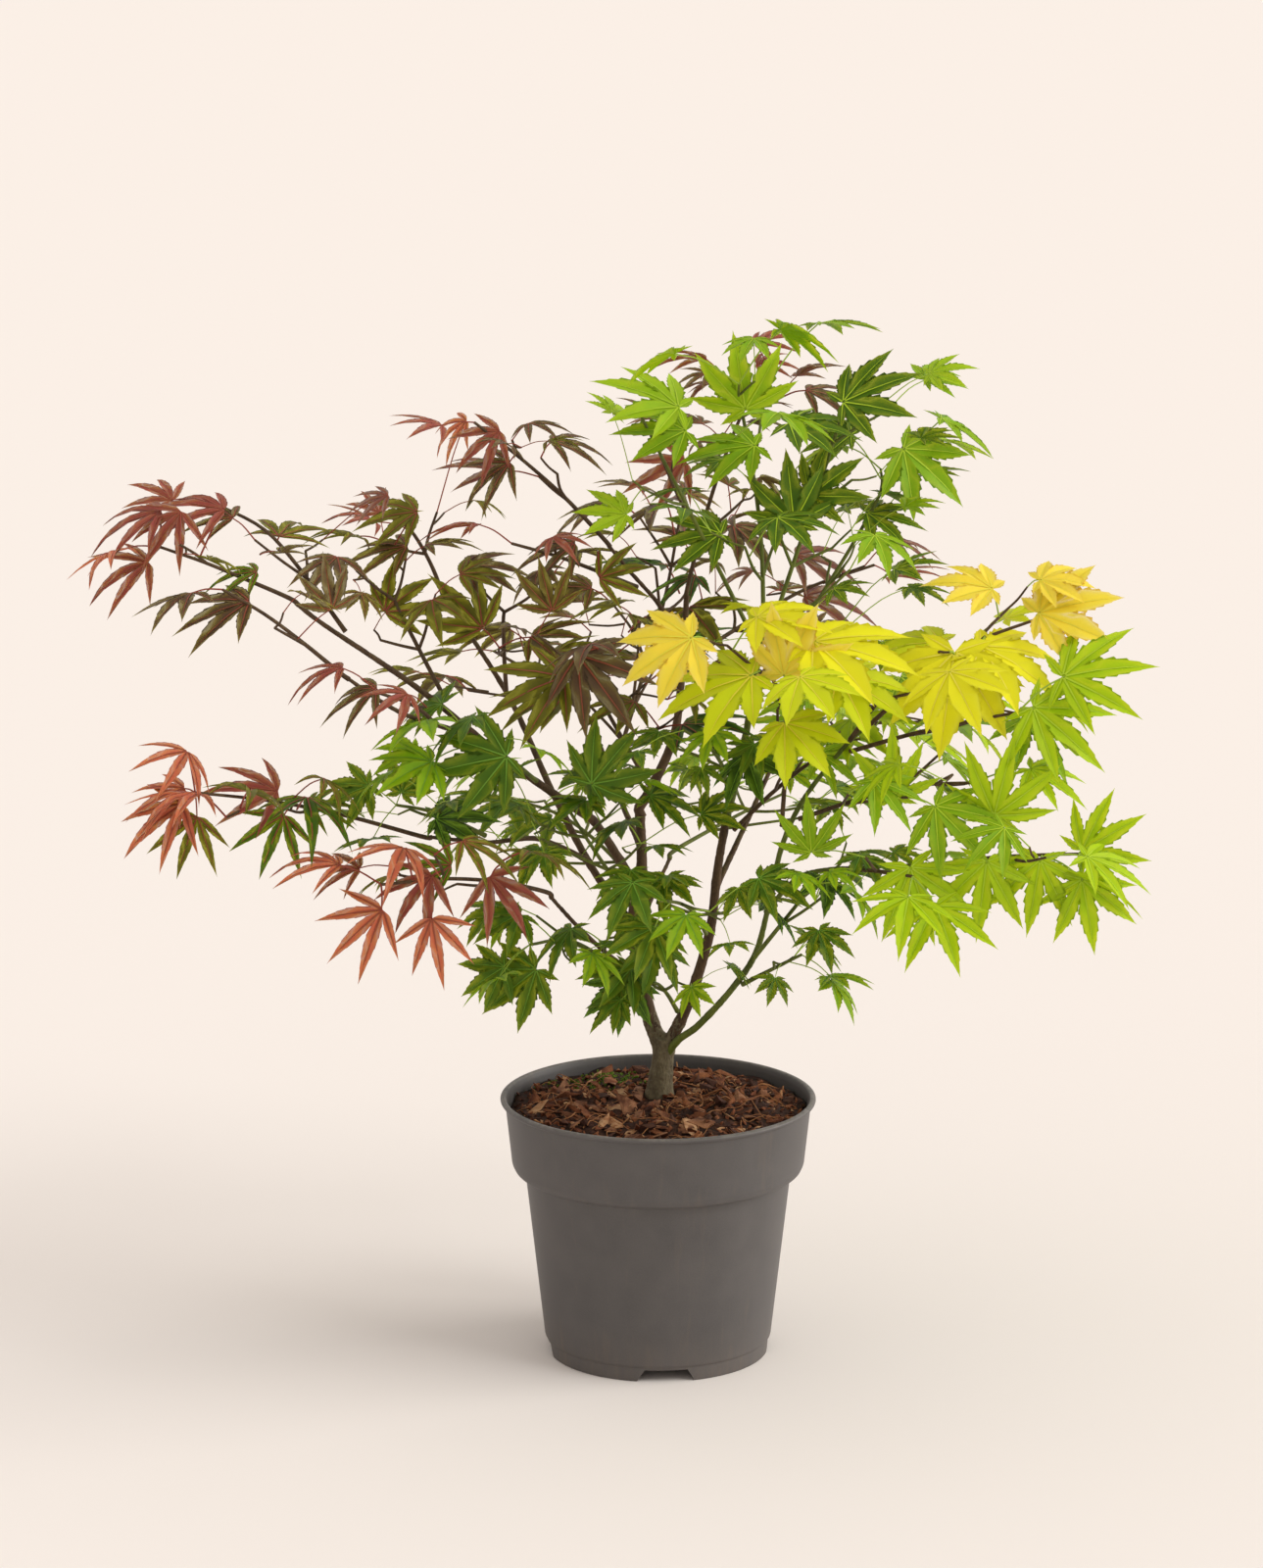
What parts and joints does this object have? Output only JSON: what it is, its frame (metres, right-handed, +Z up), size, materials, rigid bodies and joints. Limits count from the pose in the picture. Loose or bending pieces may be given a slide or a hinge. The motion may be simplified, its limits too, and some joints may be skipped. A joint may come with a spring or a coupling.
{
  "type": "potted japanese maple",
  "caption": "Young Japanese maple with several slim stems and bronze, green and gold palmate leaves, growing in a round tapered nursery pot filled with bark compost.",
  "frame": {"origin": "centre of the pot's flat underside, on the ground", "axes": "+Z up; -Y towards the side with the gold foliage in front; +X towards the gold and lime side, -X towards the long bronze boughs"},
  "size_m": [0.6491, 0.4668, 0.6319],
  "materials": {
    "pot_plastic": "satin, fine vertical mould grain",
    "bark_compost": "rough, crumbly",
    "brown_bark": "smooth young bark, satin",
    "green_bark": "smooth green shoot bark, satin",
    "green_leaf": "soft satin",
    "lime_leaf": "soft satin",
    "gold_leaf": "soft satin",
    "bronze_leaf": "soft satin",
    "purple_leaf": "soft satin",
    "red_leaf": "soft satin"
  },
  "bodies": {
    "root": {"back_left_bough": "brown_bark", "back_left_spray": "bronze_leaf", "back_low_bough": "brown_bark", "back_low_left_spray": "green_leaf", "back_low_right_spray": "green_leaf", "back_right_bough": "brown_bark", "back_right_spray": "lime_leaf", "back_top_spray": "bronze_leaf", "bronze_centre_spray": "bronze_leaf", "centre_front_spray": "green_leaf", "centre_high_spray": "green_leaf", "centre_left_spray": "green_leaf", "centre_right_spray": "green_leaf", "far_left_spray": "red_leaf", "far_left_upper_spray": "purple_leaf", "far_top_right_spray": "green_leaf", "foot_spray": "green_leaf", "gold_front_spray": "gold_leaf", "gold_middle_spray": "gold_leaf", "gold_right_spray": "gold_leaf", "left_green_spray": "green_leaf", "left_hanging_spray": "purple_leaf", "left_inner_spray": "bronze_leaf", "left_lower_spray": "bronze_leaf", "left_stem_lower": "brown_bark", "left_stem_upper": "brown_bark", "lime_middle_spray": "lime_leaf", "lime_upper_spray": "lime_leaf", "long_left_bough": "brown_bark", "low_front_bough": "brown_bark", "low_green_spray": "green_leaf", "low_left_bough": "brown_bark", "low_left_inner_spray": "green_leaf", "low_left_spray": "red_leaf", "low_red_spray": "red_leaf", "low_right_spray": "green_leaf", "lower_left_bough": "brown_bark", "middle_stem_lower": "brown_bark", "middle_stem_upper": "green_bark", "pot": "pot_plastic", "purple_right_spray": "purple_leaf", "purple_top_spray": "purple_leaf", "right_stem_lower": "green_bark", "right_stem_upper": "green_bark", "right_tier_bough": "green_bark", "soil": "bark_compost", "steep_left_bough": "brown_bark", "steep_left_spray": "bronze_leaf", "tier_inner_spray": "lime_leaf", "tier_spray": "lime_leaf", "top_front_spray": "green_leaf", "top_left_bough": "brown_bark", "top_left_green_spray": "green_leaf", "top_left_low_spray": "purple_leaf", "top_left_spray": "purple_leaf", "top_main_spray": "green_leaf", "top_right_spray": "green_leaf", "trunk": "brown_bark", "upper_right_spray": "lime_leaf", "upright_left_spray": "red_leaf"}
  },
  "joints": []
}
